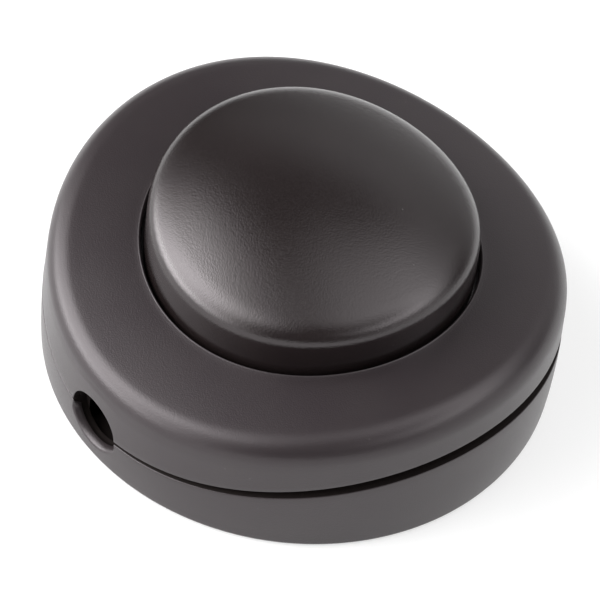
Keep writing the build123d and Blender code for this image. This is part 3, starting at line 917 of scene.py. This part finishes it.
def painted_shade_plastic(name):
    """Painted shade: darker, duller plastic inside the housing, on the seam's ledge and lip and in inlets.
    """
    material, tree, main = shader(name)
    tint = mix(tree, noise(tree, size=0.5), PAINTED_SHADE_COLOR, PAINTED_SHADE_MOTTLE)
    tree.links.new(tint, main.inputs["Base Color"])
    tree.links.new(ramp(tree, noise(tree, size=0.2), low=0.55, high=0.7), main.inputs["Roughness"])
    main.inputs["Specular IOR Level"].default_value = INSIDE_GLOSS
    return material


def nylon(name, color, shade):
    """Moulded nylon: slightly translucent looking, with soft flow marks."""
    material, tree, main = shader(name)
    flow = noise(tree, size=3.0, detail=3.0)
    tree.links.new(mix(tree, ramp(tree, flow, 0.0, 1.0), color, shade), main.inputs["Base Color"])
    tree.links.new(ramp(tree, noise(tree, size=0.5), low=0.38, high=0.5), main.inputs["Roughness"])
    tree.links.new(bump(tree, noise(tree, size=0.3), depth=0.006), main.inputs["Normal"])
    return material


def phenolic(name):
    """Brown pressed board with dark fibres."""
    material, tree, main = shader(name)
    fibres = noise(tree, size=0.8, detail=6.0, roughness=0.7)
    color = mix(tree, ramp(tree, fibres, 0.0, 1.0), PHENOLIC_COLOR, PHENOLIC_FIBRE)
    tree.links.new(color, main.inputs["Base Color"])
    tree.links.new(ramp(tree, fibres, low=0.35, high=0.6), main.inputs["Roughness"])
    tree.links.new(bump(tree, fibres, depth=0.01), main.inputs["Normal"])
    return material


def metal(name, color, dull, rough):
    """Stamped or plated metal with fine scratches and slight tarnish."""
    material, tree, main = shader(name)
    tarnish = noise(tree, size=2.5, detail=5.0)
    scratches = noise(tree, size=0.15, detail=3.0)
    tree.links.new(mix(tree, ramp(tree, tarnish, 0.0, 1.0), color, dull), main.inputs["Base Color"])
    tree.links.new(ramp(tree, scratches, low=rough, high=rough + 0.15), main.inputs["Roughness"])
    tree.links.new(bump(tree, scratches, depth=0.003), main.inputs["Normal"])
    main.inputs["Metallic"].default_value = 1.0
    return material


def floor_paper(name):
    """Matt pale paper, lit from below."""
    material, tree, main = shader(name)
    color = mix(tree, noise(tree, size=40.0), PAPER_COLOR, PAPER_SHADE)
    tree.links.new(color, main.inputs["Base Color"])
    main.inputs["Roughness"].default_value = 0.7
    main.inputs["Specular IOR Level"].default_value = 0.2
    main.inputs["Emission Color"].default_value = (1.0, 1.0, 1.0, 1.0)
    main.inputs["Emission Strength"].default_value = PAPER_GLOW
    return material


def dress(piece, node, body):
    """Puts a finished piece in the place of a node."""
    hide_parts(node)
    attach(piece, body)


def studio(right, away, height):
    """Place in the part's frame of a point given from where the camera stands."""
    turn = CAMERA_AZIMUTH + math.pi / 2
    x = right * math.cos(turn) - away * math.sin(turn)
    y = right * math.sin(turn) + away * math.cos(turn)
    return Vector((x, y, height)) * MM


def softbox(name, azimuth, elevation, width, height, power):
    """Soft light that faces the object and fades to its edge.

    Place and size are in degrees, seen from the object. Azimuth 0 is on the camera's right, 90 behind the
    object and 180 on the left.
    """
    turn, rise = math.radians(azimuth), math.radians(elevation)
    across = SOFTBOX_DISTANCE * math.cos(rise)
    place = studio(across * math.cos(turn), across * math.sin(turn), SOFTBOX_DISTANCE * math.sin(rise))
    data = bpy.data.lights.new(name, "AREA")
    data.shape = "RECTANGLE"
    data.size = 2 * SOFTBOX_DISTANCE * math.tan(math.radians(width / 2)) * MM
    data.size_y = 2 * SOFTBOX_DISTANCE * math.tan(math.radians(height / 2)) * MM
    data.energy = power
    data.use_nodes = True
    tree = data.node_tree
    place_on_light = add(tree, "ShaderNodeNewGeometry")
    from_middle = add(tree, "ShaderNodeVectorMath", operation="DISTANCE")
    from_middle.inputs[1].default_value = (0.5, 0.5, 0.0)
    tree.links.new(place_on_light.outputs["Parametric"], from_middle.inputs[0])
    fading = ramp(tree, from_middle.outputs["Value"], 1.0, 0.0, 0.0, 0.5)
    tree.links.new(fading, tree.nodes["Emission"].inputs["Strength"])
    light = bpy.data.objects.new(name, data)
    light.location = place
    light.rotation_euler = (-place).to_track_quat("-Z", "Y").to_euler()
    bpy.context.scene.collection.objects.link(light)


def make_stage():
    """Pale paper floor."""
    half = PAPER_HALF_METRES
    corners = [(-half, -half, 0), (half, -half, 0), (half, half, 0), (-half, half, 0)]
    mesh = bpy.data.meshes.new("paper_floor")
    mesh.from_pydata(corners, [], [(0, 1, 2, 3)])
    paper = bpy.data.objects.new("paper_floor", mesh)
    paper.data.materials.append(floor_paper("floor_paper"))
    bpy.context.scene.collection.objects.link(paper)


def make_camera():
    """Camera at the viewing angle that shows one inlet and the open side of the seam."""
    back = Vector((
        math.cos(CAMERA_ELEVATION) * math.cos(CAMERA_AZIMUTH),
        math.cos(CAMERA_ELEVATION) * math.sin(CAMERA_AZIMUTH),
        math.sin(CAMERA_ELEVATION),
    ))
    right = Vector((-math.sin(CAMERA_AZIMUTH), math.cos(CAMERA_AZIMUTH), 0.0))
    upward = back.cross(right)
    rolled_right = math.cos(CAMERA_ROLL) * right + math.sin(CAMERA_ROLL) * upward
    rolled_up = back.cross(rolled_right)
    place = (CAMERA_TARGET + CAMERA_DISTANCE * back) * MM
    columns = Matrix((rolled_right, rolled_up, back)).transposed()
    data = bpy.data.cameras.new("camera")
    data.lens = CAMERA_LENS
    data.sensor_width = CAMERA_SENSOR
    data.clip_start = CAMERA_CLIP_METRES
    camera = bpy.data.objects.new("camera", data)
    camera.matrix_world = Matrix.Translation(place) @ columns.to_4x4()
    bpy.context.scene.collection.objects.link(camera)
    bpy.context.scene.camera = camera


def make_lights():
    """Bright soft wall on the left, weaker ones on the right, behind and overhead."""
    for elevation, height, level in LEFT_ROWS:
        for azimuth, power in LEFT_COLUMNS:
            softbox(f"left_{elevation}_{azimuth}", azimuth, elevation, LEFT_WIDTH, height, level * power)
    for elevation, height, level in RIGHT_ROWS:
        for azimuth, power in RIGHT_COLUMNS:
            softbox(f"right_{elevation}_{azimuth}", azimuth, elevation, RIGHT_WIDTH, height, level * power)
    softbox("left_top", azimuth=195, elevation=62, width=70, height=38, power=13)
    softbox("right_high", azimuth=20, elevation=52, width=60, height=40, power=14)
    softbox("overhead", azimuth=0, elevation=74, width=70, height=60, power=24)
    softbox("back_low", azimuth=62, elevation=10, width=90, height=30, power=5.5)
    softbox("back_high", azimuth=70, elevation=32, width=90, height=40, power=7)
    world = bpy.data.worlds.new("studio")
    world.use_nodes = True
    background = world.node_tree.nodes["Background"]
    background.inputs["Color"].default_value = (1.0, 1.0, 1.0, 1.0)
    background.inputs["Strength"].default_value = SKY_STRENGTH
    bpy.context.scene.world = world


materials = {
    "housing_plastic": black_plastic(
        "housing_plastic", HOUSING_COLOR, HOUSING_WORN,
        rough=0.31, speckle=0.03, grain_size=0.2, grain_depth=0.011, gloss=1.49,
    ),
    "button_plastic": black_plastic(
        "button_plastic", BUTTON_COLOR, BUTTON_WORN,
        rough=0.20, speckle=0.07, grain_size=0.23, grain_depth=0.013, gloss=1.58,
    ),
    "white_nylon": nylon("white_nylon", color=(0.80, 0.78, 0.72), shade=(0.74, 0.72, 0.66)),
    "red_nylon": nylon("red_nylon", color=(0.50, 0.05, 0.035), shade=(0.42, 0.04, 0.03)),
    "brown_phenolic": phenolic("brown_phenolic"),
    "brass": metal("brass", color=(0.78, 0.57, 0.24), dull=(0.62, 0.44, 0.18), rough=0.28),
    "spring_steel": metal("spring_steel", color=(0.55, 0.55, 0.56), dull=(0.42, 0.42, 0.44), rough=0.25),
    "plated_steel": metal("plated_steel", color=(0.74, 0.74, 0.75), dull=(0.60, 0.60, 0.62), rough=0.22),
}

for subpart in frame["record"]["subparts"]:
    node = frame["nodes"][subpart["node"]]
    node.data.materials.clear()
    node.data.materials.append(materials[subpart["material_slot"]])

# Darker plastic that paints shade inside the housing, on the seam's ledge and lip and in the inlets
painted_shade_finish = painted_shade_plastic("housing_inside_painted_shade")
base = make_base()
cover = make_cover()
button = make_button()
for piece, slot in ((base, "housing_plastic"), (cover, "housing_plastic"), (button, "button_plastic")):
    piece.data.materials.append(materials[slot])
    piece.data.materials.append(painted_shade_finish)
carve(base, base_forms(), base_holes())
carve(cover, cover_forms(), cover_holes())
carve(button, button_forms(), button_holes())
dress(base, "base_housing", "housing")
dress(cover, "cover_housing", "housing")
dress(button, "push_button", "button")

spring = make_spring()
spring.data.materials.append(materials["spring_steel"])
dress(spring, "return_spring", "housing")
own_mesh(spring)

make_stage()
make_lights()
make_camera()
bpy.context.scene.view_settings.view_transform = "Standard"
